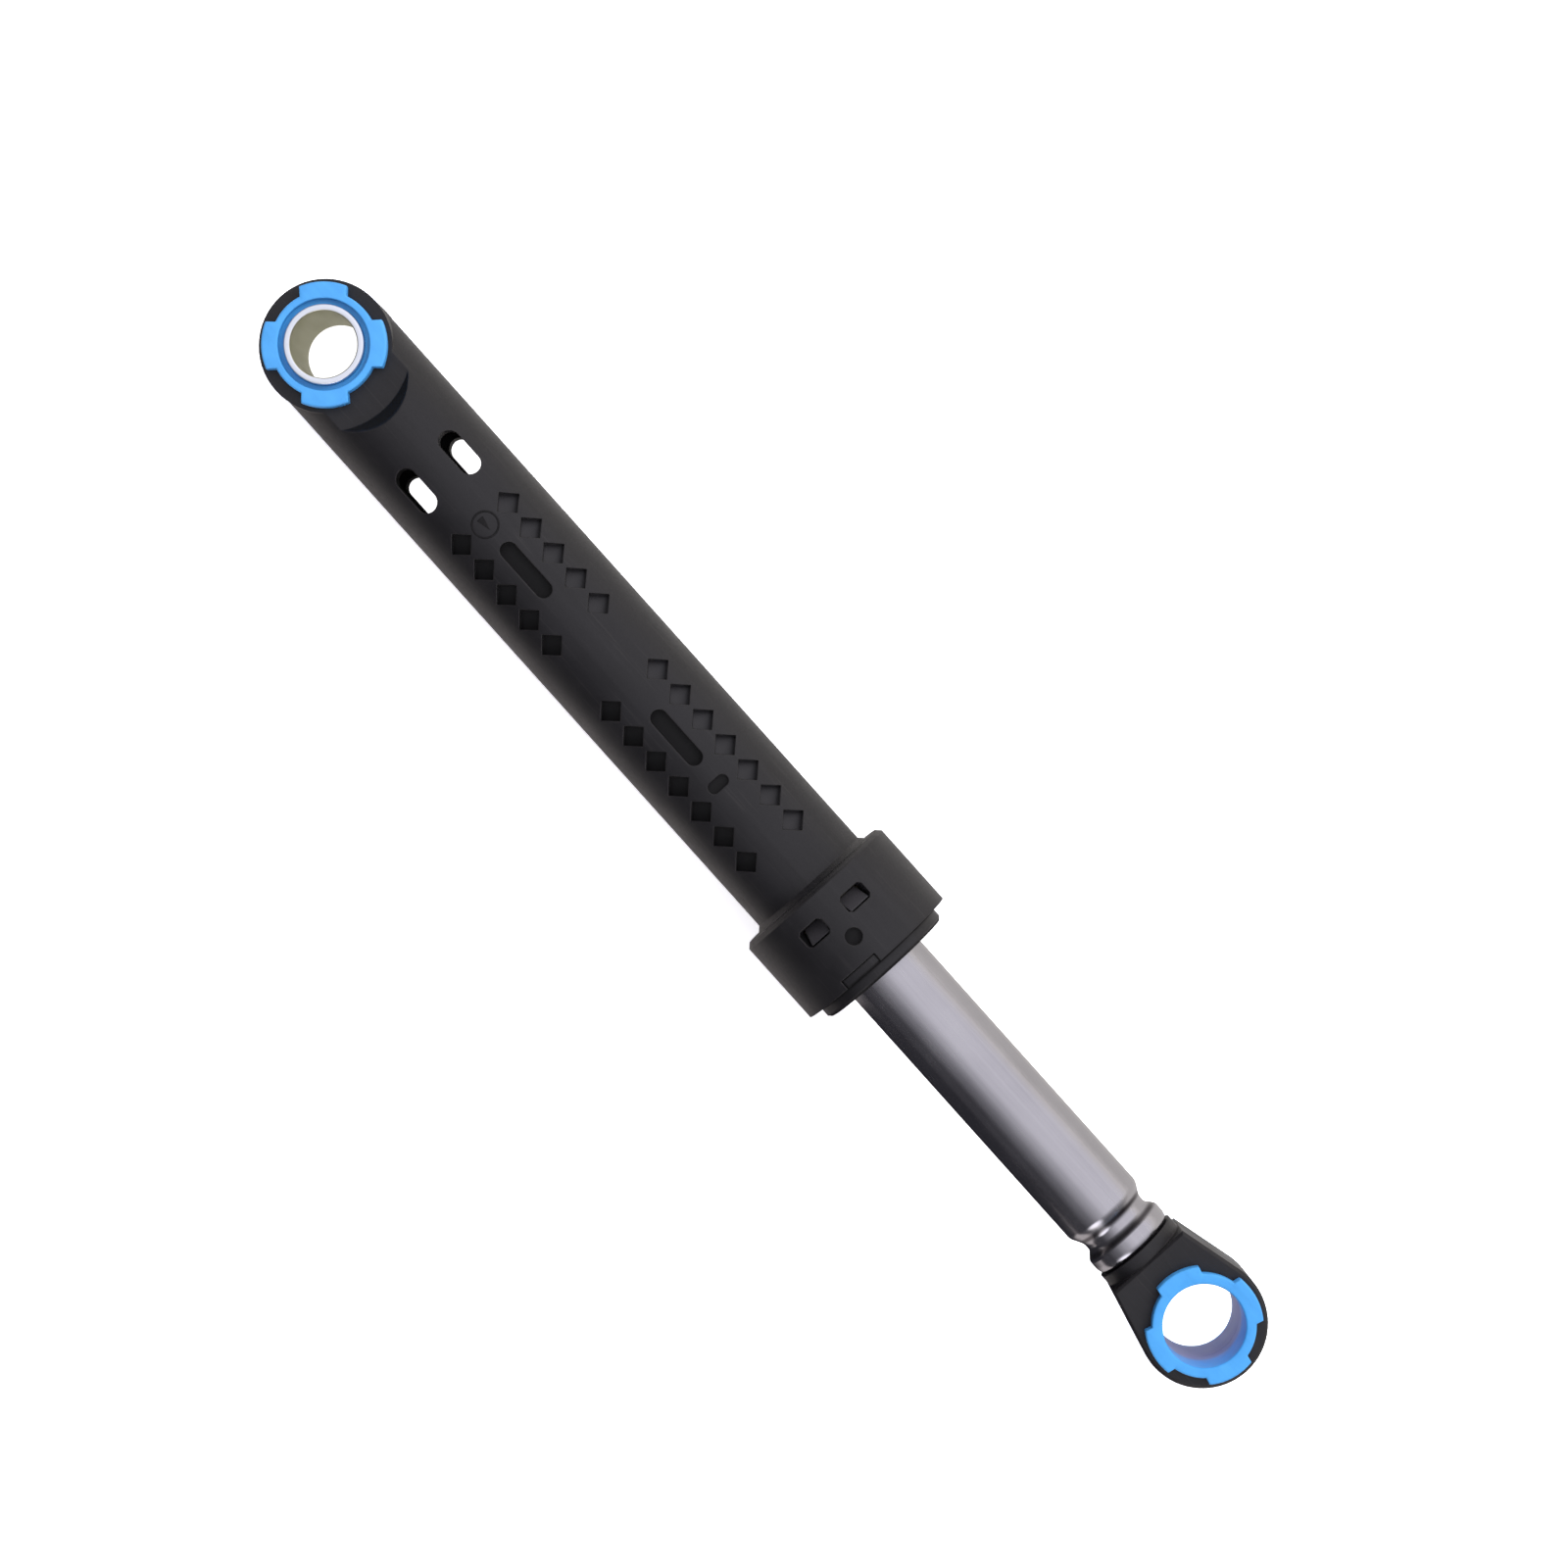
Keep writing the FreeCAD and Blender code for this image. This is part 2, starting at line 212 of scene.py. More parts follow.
def mapValue(tree, value, fromLow, fromHigh, toLow, toHigh):
    made = setInputs(addNode(tree, "ShaderNodeMapRange"), From_Min=fromLow, From_Max=fromHigh,
                     To_Min=toLow, To_Max=toHigh)
    tree.links.new(value, made.inputs["Value"])
    return made.outputs["Result"]


# most of what a noise gives lies in this span
noiseSpan = (0.3, 0.7)


def spreadNoise(tree, noise, toLow, toHigh):
    return mapValue(tree, noise, *noiseSpan, toLow, toHigh)


def combine(tree, operation, first, second):
    made = addNode(tree, "ShaderNodeMath", operation=operation)
    for socket, value in ((made.inputs[0], first), (made.inputs[1], second)):
        if isinstance(value, bpy.types.NodeSocket):
            tree.links.new(value, socket)
        else:
            socket.default_value = value
    return made.outputs["Value"]


def startMaterial(name):
    material = bpy.data.materials.new(name)
    material.use_nodes = True
    tree = material.node_tree
    tree.nodes.clear()
    shader = addNode(tree, "ShaderNodeBsdfPrincipled")
    output = addNode(tree, "ShaderNodeOutputMaterial")
    tree.links.new(shader.outputs["BSDF"], output.inputs["Surface"])
    place = addNode(tree, "ShaderNodeTexCoord").outputs["Object"]
    return material, tree, shader, place


def bumpFrom(tree, shader, height, normal, strength, distance):
    bump = setInputs(addNode(tree, "ShaderNodeBump"), Strength=strength, Distance=distance)
    tree.links.new(height, bump.inputs["Height"])
    if normal is not None:
        tree.links.new(normal, bump.inputs["Normal"])
    tree.links.new(bump.outputs["Normal"], shader.inputs["Normal"])


# the sunk places, which take a painted shade: where the distance from the strut's axis is less than the
# moulding's own radius there, outside the eye's flat face; with it, how far towards +Y, past the ledge round
# the eye, for a paler painted shade on the side the light falls from, while the ledge's wall keeps the full
# painted shade
def recessShadeMask(tree, place, recess):
    split = addNode(tree, "ShaderNodeSeparateXYZ")
    tree.links.new(place, split.inputs["Vector"])
    square = {axis: combine(tree, "MULTIPLY", split.outputs[axis], split.outputs[axis]) for axis in "XYZ"}
    radius = combine(tree, "SQRT", combine(tree, "ADD", square["Y"], square["Z"]), 0.0)
    fromEye = combine(tree, "SQRT", combine(tree, "ADD", square["X"], square["Y"]), 0.0)
    onCollar = combine(tree, "GREATER_THAN", split.outputs["X"], recess["collarStart"] * mm)
    skin = mapValue(tree, onCollar, 0.0, 1.0, recess["barrel"] * mm, recess["collar"] * mm)
    below = combine(tree, "SUBTRACT", skin, radius)
    depth = mapValue(tree, below, recess["shallow"] * mm, recess["deep"] * mm, 0.0, 1.0)
    offFlat = combine(tree, "GREATER_THAN", fromEye, recess["flatRadius"] * mm)
    sunk = combine(tree, "MULTIPLY", depth, offFlat)
    pastLedge = combine(tree, "GREATER_THAN", split.outputs["X"], recess["ledgeEnd"] * mm)
    side = mapValue(tree, split.outputs["Y"], recess["sideFrom"] * mm, recess["sideTo"] * mm, 0.0, 1.0)
    return sunk, combine(tree, "MULTIPLY", side, pastLedge)


# two patchy rings of painted shade, each a set distance along X from a middle
def shadeLines(tree, place, patch, grimeAndShade):
    split = addNode(tree, "ShaderNodeSeparateXYZ")
    tree.links.new(place, split.inputs["Vector"])
    off = combine(tree, "ABSOLUTE", combine(tree, "SUBTRACT", split.outputs["X"], grimeAndShade["centre"] * mm), 0.0)
    away = combine(tree, "ABSOLUTE", combine(tree, "SUBTRACT", off, grimeAndShade["offset"] * mm), 0.0)
    line = mapValue(tree, away, grimeAndShade["core"] * mm, grimeAndShade["reach"] * mm, 1.0, 0.0)
    patchy = mapValue(tree, patch, *grimeAndShade["patchSpan"], grimeAndShade["patchLeast"], 1.0)
    return combine(tree, "MULTIPLY", line, patchy)


# black glass-filled moulding: near-black body, paler streaks, corners painted paler as rubbed wear and as
# painted highlight, and painted shade with dull floors where it is sunk
def mouldedBlack(name, look):
    material, tree, shader, place = startMaterial(name)
    link = tree.links.new
    skin = placeGroup(tree, mouldGroup, place, Mottle_Scale=look["mottleScale"],
                      Grain_Scale=look["grainScale"])
    edge = placeGroup(tree, edgeGroup, place, Radius=look["edgeRadius"])
    scratch = placeGroup(tree, scratchGroup, place, Amount=look["scratch"])
    cloud = spreadNoise(tree, skin.outputs["Mottle"], 0.0, 1.0)
    body = mixColour(tree, cloud, look["dark"], look["light"])
    streak = mapValue(tree, skin.outputs["Flow"], *look["streakSpan"], 0.0, look["streakMost"])
    body = mixColour(tree, streak, body, look["streak"])
    body = mixColour(tree, scratch.outputs["Scratch"], body, look["rubbedAndHighlight"])
    # corners painted paler: rubbed wear and painted highlight
    body = mixColour(tree, edge.outputs["Edge"], body, look["rubbedAndHighlight"])
    rough = spreadNoise(tree, skin.outputs["Mottle"], look["roughLow"], look["roughHigh"])
    speckle = spreadNoise(tree, skin.outputs["Grain"], -look["grainRough"], look["grainRough"])
    rough = combine(tree, "ADD", rough, speckle)
    # painted shade in the sunk places, paler towards +Y where the light falls
    if "recess" in look:
        pitShade, side = recessShadeMask(tree, place, look["recess"])
        pitShadeColour = mixColour(tree, side, look["pitShade"], look["litSidePitShade"])
        body = mixColour(tree, combine(tree, "MULTIPLY", pitShade, look["pitShadeMost"]), body, pitShadeColour)
        dull = mapValue(tree, side, 0.0, 1.0, look["pitRough"], look["roughHigh"])
        rough = combine(tree, "MAXIMUM", rough, combine(tree, "MULTIPLY", pitShade, dull))
    # painted shade in two dark rings: on the cap, at the joint with the collar's mouth and at the cap's outer
    # edge
    if "grimeAndShade" in look:
        seamShade = shadeLines(tree, place, skin.outputs["Mottle"], look["grimeAndShade"])
        body = mixColour(tree, seamShade, body, look["grimeAndShade"]["colour"])
        rough = combine(tree, "MAXIMUM", rough, combine(tree, "MULTIPLY", seamShade, look["grimeAndShade"]["rough"]))
    # a paler tone on the part of the cap nearer than X 158 mm
    if "paler" in look:
        split = addNode(tree, "ShaderNodeSeparateXYZ")
        link(place, split.inputs["Vector"])
        palerPart = combine(tree, "LESS_THAN", split.outputs["X"], look["palerEnd"] * mm)
        body = mixColour(tree, palerPart, body, look["paler"])
    link(body, shader.inputs["Base Color"])
    link(rough, shader.inputs["Roughness"])
    swell = mapValue(tree, skin.outputs["Mottle"], 0.0, 1.0, 0.0, look["mottleHeight"])
    height = combine(tree, "ADD", skin.outputs["Grain"], swell)
    bumpFrom(tree, shader, height, edge.outputs["Soft Normal"], look["bump"], look["bumpDepth"])
    setInputs(shader, Specular_IOR_Level=look["specular"])
    return material


headLook = dict(dark=(0.0078, 0.0074, 0.0088), light=(0.0122, 0.0117, 0.0138),
                streak=(0.015, 0.0144, 0.0166), streakSpan=(0.45, 0.75), streakMost=0.5,
                rubbedAndHighlight=(0.04, 0.037, 0.037), mottleScale=120.0, grainScale=2600.0, edgeRadius=0.0004,
                roughLow=0.38, roughHigh=0.5, grainRough=0.05, scratch=0.25, mottleHeight=2.0, bump=0.35,
                bumpDepth=0.00004, specular=0.33)
# painted shade at the joint with the collar's mouth (166.3 mm) and on the cap's outer edge (168.9 mm)
capShadeLines = dict(centre=167.6, offset=1.3, core=0.25, reach=0.65, patchSpan=(0.35, 0.6), patchLeast=0.75,
                colour=(0.0012, 0.0011, 0.0014), rough=0.85)
capLook = dict(headLook, mottleScale=140.0, paler=(0.045, 0.043, 0.047), palerEnd=158.0, grimeAndShade=capShadeLines)
# the date ring's mark: darker than the barrel as painted shade in its sunk face, and duller
markShadeLook = dict(headLook, dark=(0.002, 0.002, 0.0022), light=(0.004, 0.0038, 0.0044),
                edgeRadius=0.00015, roughLow=0.72, roughHigh=0.84)
# where the barrel's painted shade goes: its sunk places and the ledge wall round the eye, paler towards +Y
barrelRecessShade = dict(collarStart=147.0, barrel=13.5, collar=18.2, shallow=0.25, deep=0.7, flatRadius=17.35,
                    ledgeEnd=27.0, sideFrom=2.2, sideTo=4.0)
barrelLook = dict(headLook, mottleScale=85.0, roughLow=0.41, roughHigh=0.52, recess=barrelRecessShade,
                  pitShade=(0.0018, 0.0017, 0.002), litSidePitShade=(0.022, 0.0213, 0.024), pitShadeMost=0.9, pitRough=0.72)


# light blue acetal: corners painted paler as rubbed wear and as painted highlight, darker grime in streaks,
# and another tone in the dish or the bore: painted shade in the dish, purple-grey deeper in the bore
def bluePlastic(name, look):
    material, tree, shader, place = startMaterial(name)
    link = tree.links.new
    skin = placeGroup(tree, mouldGroup, place, Mottle_Scale=look["mottleScale"],
                      Grain_Scale=look["grainScale"])
    edge = placeGroup(tree, edgeGroup, place, Radius=look["edgeRadius"])
    cloud = spreadNoise(tree, skin.outputs["Mottle"], 0.0, 1.0)
    body = mixColour(tree, cloud, look["deep"], look["pale"])
    film = mapValue(tree, skin.outputs["Flow"], *look["grimeSpan"], 0.0, look["grimeMost"])
    body = mixColour(tree, film, body, look["grimeAndShade"])
    # corners painted paler: rubbed wear and painted highlight
    rubbedAndHighlight = combine(tree, "MULTIPLY", edge.outputs["Edge"], look["rubbedAndHighlightMost"])
    body = mixColour(tree, rubbedAndHighlight, body, look["rubbedAndHighlight"])
    # inner tone: painted shade in the dish of the upper bushes; a purple-grey tone deeper in the bore of the
    # lower ones
    inner = addNode(tree, "ShaderNodeAttribute", attribute_name="inner").outputs["Fac"]
    body = mixColour(tree, inner, body, look["inner"])
    link(body, shader.inputs["Base Color"])
    rough = spreadNoise(tree, skin.outputs["Mottle"], look["roughLow"], look["roughHigh"])
    link(rough, shader.inputs["Roughness"])
    softNormal = edge.outputs["Soft Normal"]
    bumpFrom(tree, shader, skin.outputs["Grain"], softNormal, look["bump"], look["bumpDepth"])
    setInputs(shader, Specular_IOR_Level=look["specular"])
    return material


# the inner tone here is the dish's painted shade
blueLook = dict(deep=(0.07, 0.37, 0.84), pale=(0.09, 0.43, 0.93), grimeAndShade=(0.055, 0.3, 0.7),
                grimeSpan=(0.5, 0.8), grimeMost=0.4, rubbedAndHighlight=(0.16, 0.52, 0.96), rubbedAndHighlightMost=0.5,
                inner=(0.042, 0.29, 0.63), mottleScale=220.0, grainScale=3000.0, edgeRadius=0.0003,
                roughLow=0.38, roughHigh=0.5, bump=0.25, bumpDepth=0.00003, specular=0.4)
# the lower bushes: a purple-grey tone deeper in the bore, and less specular
greyBoreBlueLook = dict(blueLook, inner=(0.3, 0.3, 0.53), specular=0.25)


# drawn steel: turned or drawn lines, cloudy zinc bloom, dark rubbed specks
def plainSteel(name, look):
    material, tree, shader, place = startMaterial(name)
    link = tree.links.new
    skin = placeGroup(tree, mouldGroup, place, Mottle_Scale=look["mottleScale"],
                      Grain_Scale=look["grainScale"], Stretch=look["drawn"])
    scratch = placeGroup(tree, scratchGroup, place, Stretch=look["scratchRun"], Amount=look["scratch"])
    cloud = spreadNoise(tree, skin.outputs["Mottle"], 0.0, 1.0)
    body = mixColour(tree, cloud, look["dark"], look["light"])
    drawn = mapValue(tree, skin.outputs["Flow"], *look["drawnSpan"], 0.0, look["drawnMost"])
    body = mixColour(tree, drawn, body, look["drawnColour"])
    body = mixColour(tree, scratch.outputs["Scratch"], body, look["scratchColour"])
    # painted shade: two dark rings on the groove's slopes, standing for their dark reflection
    if "grimeAndShade" in look:
        ring = shadeLines(tree, place, skin.outputs["Mottle"], look["grimeAndShade"])
        body = mixColour(tree, ring, body, look["grimeAndShade"]["colour"])
    if "bore" in look:
        bore = addNode(tree, "ShaderNodeAttribute", attribute_name="bore").outputs["Fac"]
        body = mixColour(tree, bore, body, look["bore"])
    link(body, shader.inputs["Base Color"])
    rough = spreadNoise(tree, skin.outputs["Flow"], look["roughLow"], look["roughHigh"])
    bloom = spreadNoise(tree, skin.outputs["Mottle"], -look["bloomRough"], look["bloomRough"])
    link(combine(tree, "ADD", rough, bloom), shader.inputs["Roughness"])
    grain = combine(tree, "MULTIPLY", skin.outputs["Grain"], look["grainHeight"])
    height = combine(tree, "ADD", skin.outputs["Flow"], grain)
    bumpFrom(tree, shader, height, None, look["bump"], look["bumpDepth"])
    setInputs(shader, Metallic=1.0)
    return material


# painted shade on the groove's two slopes, 1.8 mm either side of its middle
grooveShadeLines = dict(centre=239.0, offset=1.8, core=0.2, reach=0.75, patchSpan=(0.35, 0.6), patchLeast=0.75,
                   colour=(0.05, 0.045, 0.05))
steelLook = dict(mottleScale=70.0, grainScale=2200.0, drawnSpan=(0.35, 0.7), drawnMost=0.5,
                 bloomRough=0.04, grainHeight=0.4, bump=0.03, bumpDepth=0.00002)
tubeLook = dict(steelLook, dark=(0.32, 0.315, 0.34), light=(0.37, 0.365, 0.39),
                drawn=(18.0, 900.0, 900.0), drawnColour=(0.41, 0.405, 0.43),
                scratchRun=(25.0, 1800.0, 1800.0), scratchColour=(0.24, 0.235, 0.25), scratch=0.15,
                roughLow=0.21, roughHigh=0.27, grimeAndShade=grooveShadeLines)
sleeveLook = dict(steelLook, dark=(0.66, 0.7, 0.76), light=(0.74, 0.78, 0.85),
                  drawn=(900.0, 900.0, 60.0), drawnColour=(0.78, 0.82, 0.89),
                  scratchRun=(1500.0, 1500.0, 60.0), scratchColour=(0.45, 0.47, 0.5), scratch=0.1,
                  roughLow=0.36, roughHigh=0.46, bore=(0.6, 0.59, 0.43))


# greased open foam, brown-yellow, with pores painted dark as the shade in its open cells
def greasedFoam(name, look):
    material, tree, shader, place = startMaterial(name)
    link = tree.links.new
    cells = setInputs(addNode(tree, "ShaderNodeTexVoronoi"), Scale=look["cellScale"])
    link(place, cells.inputs["Vector"])
    skin = placeGroup(tree, mouldGroup, place, Mottle_Scale=look["mottleScale"])
    cellWall = mapValue(tree, cells.outputs["Distance"], *look["wallSpan"], 0.0, 1.0)
    body = mixColour(tree, cellWall, look["poreShade"], look["wall"])
    grease = mapValue(tree, skin.outputs["Mottle"], *look["greaseSpan"], 0.0, look["greaseMost"])
    body = mixColour(tree, grease, body, look["grease"])
    link(body, shader.inputs["Base Color"])
    rough = mapValue(tree, skin.outputs["Mottle"], *look["roughSpan"], look["roughLow"], look["roughHigh"])
    link(rough, shader.inputs["Roughness"])
    bumpFrom(tree, shader, cells.outputs["Distance"], None, look["bump"], look["bumpDepth"])
    return material


foamLook = dict(poreShade=(0.02, 0.016, 0.01), wall=(0.16, 0.13, 0.085), wallSpan=(0.15, 0.6),
                grease=(0.07, 0.055, 0.035), greaseSpan=(0.4, 0.7), greaseMost=0.6, cellScale=1400.0,
                mottleScale=160.0, roughSpan=(0.35, 0.65), roughLow=0.35, roughHigh=0.8, bump=0.8,
                bumpDepth=0.0003)

finishes = {
    "barrel": mouldedBlack("blackMoulding", barrelLook),
    "cap": mouldedBlack("blackCap", capLook),
    "head": mouldedBlack("blackHead", headLook),
    "mark": mouldedBlack("shadedBlackMark", markShadeLook),
    "blue": bluePlastic("blueBush", blueLook),
    "greyBoreBlue": bluePlastic("greyBoreBlueBush", greyBoreBlueLook),
    "tube": plainSteel("zincTube", tubeLook),
    "sleeve": plainSteel("turnedSleeve", sleeveLook),
    "foam": greasedFoam("greasedFoam", foamLook),
}
print("materials made:", len(finishes))


def dress(piece, finish):
    piece.data.materials.clear()
    piece.data.materials.append(finishes[finish])


for nodeName, finish in (("barrel", "barrel"), ("end_cap", "cap"), ("rod_head", "head")):
    dress(nodes[nodeName], finish)


def settle(piece, body, finish, replaced=None):
    dress(piece, finish)
    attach(piece, body)
    if replaced:
        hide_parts(replaced)


# rod tube: outer radius R, less a groove that eases in and out as a smooth step of the distance from its
# centre; the loop goes out along the outside, round the end bead and back along the bore
tube = dict(start=94.0, end=245.2, radius=9.0, wall=1.2, beadRound=1.0, beadLong=2.0, beadSteps=16,
            startRound=0.4, startSteps=6, sparse=(94.4, 230.0, 30), dense=(230.5, 244.2, 90), turns=128,
            outside=dict(centre=239.0, depth=1.5, flatHalf=0.4, easeBefore=4.3, easeAfter=2.9),
            bore=dict(centre=238.3, depth=1.75, flatHalf=1.15, easeBefore=3.25, easeAfter=3.25))


def grooveDip(x, groove):
    ease = np.where(x < groove["centre"], groove["easeBefore"], groove["easeAfter"])
    t = np.clip((np.abs(x - groove["centre"]) - groove["flatHalf"]) / (ease - groove["flatHalf"]), 0, 1)
    return groove["depth"] * (1 - t * t * (3 - 2 * t))


def makeRodTube():
    r, bead, beadLong, rim = tube["radius"], tube["beadRound"], tube["beadLong"], tube["startRound"]
    inner = r - tube["wall"]
    x = np.concatenate([np.linspace(*tube["sparse"]), np.linspace(*tube["dense"])])
    x = x[x < tube["end"] - beadLong]
    outside = np.stack([x, r - grooveDip(x, tube["outside"])], axis=-1)
    quarter = arcPlaces(0.0, 0.0, 1.0, 90, 0, tube["beadSteps"])
    beadEnd = quarter * (beadLong, bead) + (tube["end"] - beadLong, r - bead)
    lip = np.array([[tube["end"], inner]])
    back = x[::-1]
    inside = np.stack([back, inner - grooveDip(back, tube["bore"])], axis=-1)
    tail = np.array([[tube["start"], inner]])
    startRim = arcPlaces(tube["start"] + rim, r - rim, rim, 180, 100, tube["startSteps"])
    loop = np.concatenate([outside, beadEnd, lip, inside, tail, startRim]) * mm
    return turnedAboutStrut("rodTube", loop[:, 0], loop[:, 1], tube["turns"])


settle(makeRodTube(), "tube", "tube", "rod_tube")


# sleeve: a rounded rectangle of radius against height, carried round Z
sleeve = dict(inner=6.75, outer=8.1, half=13.0, edge=0.3, edgeSteps=6, boreTint=0.85, turns=128)


def makeSleeve():
    a, b, h, e = sleeve["inner"], sleeve["outer"], sleeve["half"], sleeve["edge"]
    steps = sleeve["edgeSteps"]
    loop = np.concatenate([
        arcPlaces(b - e, h - e, e, 0, 90, steps), arcPlaces(a + e, h - e, e, 90, 180, steps),
        arcPlaces(a + e, -h + e, e, 180, 270, steps), arcPlaces(b - e, -h + e, e, 270, 360, steps),
    ]) * mm
    angle = np.linspace(0, fullTurn, sleeve["turns"], endpoint=False)
    points = np.stack([loop[:, 0, None] * np.cos(angle), loop[:, 0, None] * np.sin(angle),
                       np.repeat(loop[:, 1, None], sleeve["turns"], axis=1)], axis=-1)
    piece = gridMesh("boltSleeve", points)
    bore = piece.data.attributes.new("bore", "FLOAT", "POINT")
    inBore = loop[:, 0] < (a + e / 2) * mm
    bore.data.foreach_set("value", np.repeat(sleeve["boreTint"] * inBore, sleeve["turns"]))
    return piece


settle(makeSleeve(), "sleeve", "sleeve", "upper_sleeve")

# bushes: the rim follows r(t), the ring's radius or the lug's straight flared side w / (sin t - k cos t),
# whichever is more, and no more than the lug's radius; each section is a loop of radius against height
upperBush = dict(atX=0.0, bore=8.15, spigot=9.85, ring=10.7, lug=12.6, lugs=4, turn=49.0, rootWidth=8.6,
                 tipWidth=9.6, leastSlant=0.001, low=0.1, seat=9.9, top=12.9, edge=0.4, rimSteps=6,
                 dish=1.1, dishDepth=1.6, lipEdge=0.15, lipTint=0.3, sharpAngle=40.0, turns=480)
# the lower bushes go purple-grey in the bore past a blue band at the mouth; on the under half that band is
# short
lowerBush = dict(upperBush, atX=264.5, bore=8.4, ring=10.5, lug=11.9, turn=-13.0, dish=0.0, mouthSteps=5,
                 blueBand=7.8, fadeBand=2.2, boreTint=0.9)
lowerUnderBush = dict(lowerBush, blueBand=0.6, fadeBand=1.0)


def lugOutline(angle, bush):
    step = fullTurn / bush["lugs"]
    local = np.abs((angle - math.radians(bush["turn"]) + step / 2) % step - step / 2)
    flare = (bush["tipWidth"] - bush["rootWidth"]) / 2 / bush["lug"]
    slant = np.maximum(np.sin(local) - flare * np.cos(local), bush["leastSlant"])
    return np.clip(bush["rootWidth"] / 2 / slant, bush["ring"], bush["lug"])


# each row is a radius round the bush, a height, and how far the inner tone shows there: painted shade in the
# upper bushes' dish, purple-grey deeper in the lower bushes' bore
def makeBush(name, bush, side):
    angle = np.linspace(0, fullTurn, bush["turns"], endpoint=False)
    rim = lugOutline(angle, bush)
    bore, spigot = np.full_like(angle, bush["bore"]), np.full_like(angle, bush["spigot"])
    e, top, seat, low = bush["edge"], bush["top"], bush["seat"], bush["low"]
    rows = [(bore, low, 1.0), (spigot, low, 0.0), (spigot, seat, 0.0), (rim, seat, 0.0)]
    for t in np.radians(np.linspace(0, 90, bush["rimSteps"])):
        rows.append((rim - e * (1 - math.cos(t)), top - e * (1 - math.sin(t)), 0.0))
    if bush["dish"]:
        lip, lipEdge, dishFloor = bore + bush["dish"], bush["lipEdge"], top - bush["dishDepth"]
        rows += [(lip + lipEdge, top, 0.0), (lip, top - lipEdge, bush["lipTint"]),
                 (lip, dishFloor, 1.0), (bore, dishFloor, 1.0)]
    else:
        for t in np.radians(np.linspace(90, 0, bush["mouthSteps"])):
            rows.append((bore + e * (1 - math.cos(t)), top - e * (1 - math.sin(t)), 0.0))
        cleanEnd = top - bush["blueBand"]
        rows += [(bore, cleanEnd, 0.0), (bore, cleanEnd - bush["fadeBand"], bush["boreTint"])]
    radius = np.stack([row[0] for row in rows]) * mm
    height = np.repeat(np.array([row[1] for row in rows])[:, None], len(angle), axis=1) * mm
    x, y = radius * np.cos(angle) + bush["atX"] * mm, side * radius * np.sin(angle)
    points = np.stack([x, y, side * height], axis=-1)
    piece = gridMesh(name, points)
    inner = piece.data.attributes.new("inner", "FLOAT", "POINT")
    inner.data.foreach_set("value", np.repeat([row[2] for row in rows], len(angle)).astype(np.float32))
    piece.data.set_sharp_from_angle(angle=math.radians(bush["sharpAngle"]))
    return piece


for name, bush, side, body, finish, replaced in (
    ("upperBushTop", upperBush, 1, "barrel", "blue", "upper_bush_front"),
    ("upperBushUnder", upperBush, -1, "barrel", "blue", "upper_bush_rear"),
    ("lowerBushTop", lowerBush, 1, "head", "greyBoreBlue", "lower_bush_front"),
    ("lowerBushUnder", lowerUnderBush, -1, "head", "greyBoreBlue", "lower_bush_rear"),
):
    settle(makeBush(name, bush, side), body, finish, replaced)
print("bushes, sleeve and tube made")

# foam lining: a split ring whose outside swells and dents as a sum of sines of the angle and of X
foam = dict(start=149.0, end=163.1, inner=9.06, outer=12.9, slitHalf=2.0, dent=0.25, dentMean=0.5,
            dentSwing=0.25, waves=((7.0, 0.9), (3.0, 1.7), (19.0, -1.3)), turns=160, rows=24)


def makeFoam():
    turn = np.radians(np.linspace(-90 + foam["slitHalf"], 270 - foam["slitHalf"], foam["turns"]))
    x = np.linspace(foam["start"], foam["end"], foam["rows"])
    along, turn = np.meshgrid(x, turn, indexing="ij")
    first, second, third = [np.sin(byTurn * turn + byLength * along) for byTurn, byLength in foam["waves"]]
    dents = foam["dentMean"] + foam["dentSwing"] * (first * second + third)
    outer = foam["outer"] - foam["dent"] * dents
    inner = np.full_like(outer, foam["inner"])
    radius = np.concatenate([outer, inner[::-1]])
    along = np.concatenate([along, along[::-1]])
    turn = np.concatenate([turn, turn[::-1]])
    points = np.stack([along, radius * np.cos(turn), radius * np.sin(turn)], axis=-1) * mm
    return gridMesh("foamLining", points, closeColumns=False, fillEnds=True)


settle(makeFoam(), "barrel", "foam", "friction_lining")

# date ring: the mark of the moulding tool's round insert, a thin shell in the barrel's skin; at a distance d
# from its centre a rounded rim stands proud, and so does a bare pointer across the middle
dateRing = dict(x=48.6, barrel=13.5, middle=0.02, outer=2.95, rimWidth=0.55, rim=0.12, hidden=-0.12,
                pointer=0.1, pointerHalf=0.85, pointerReach=1.7, pointerEdge=0.08, pointerEnd=0.1, sink=0.2,
                rows=48, turns=96)


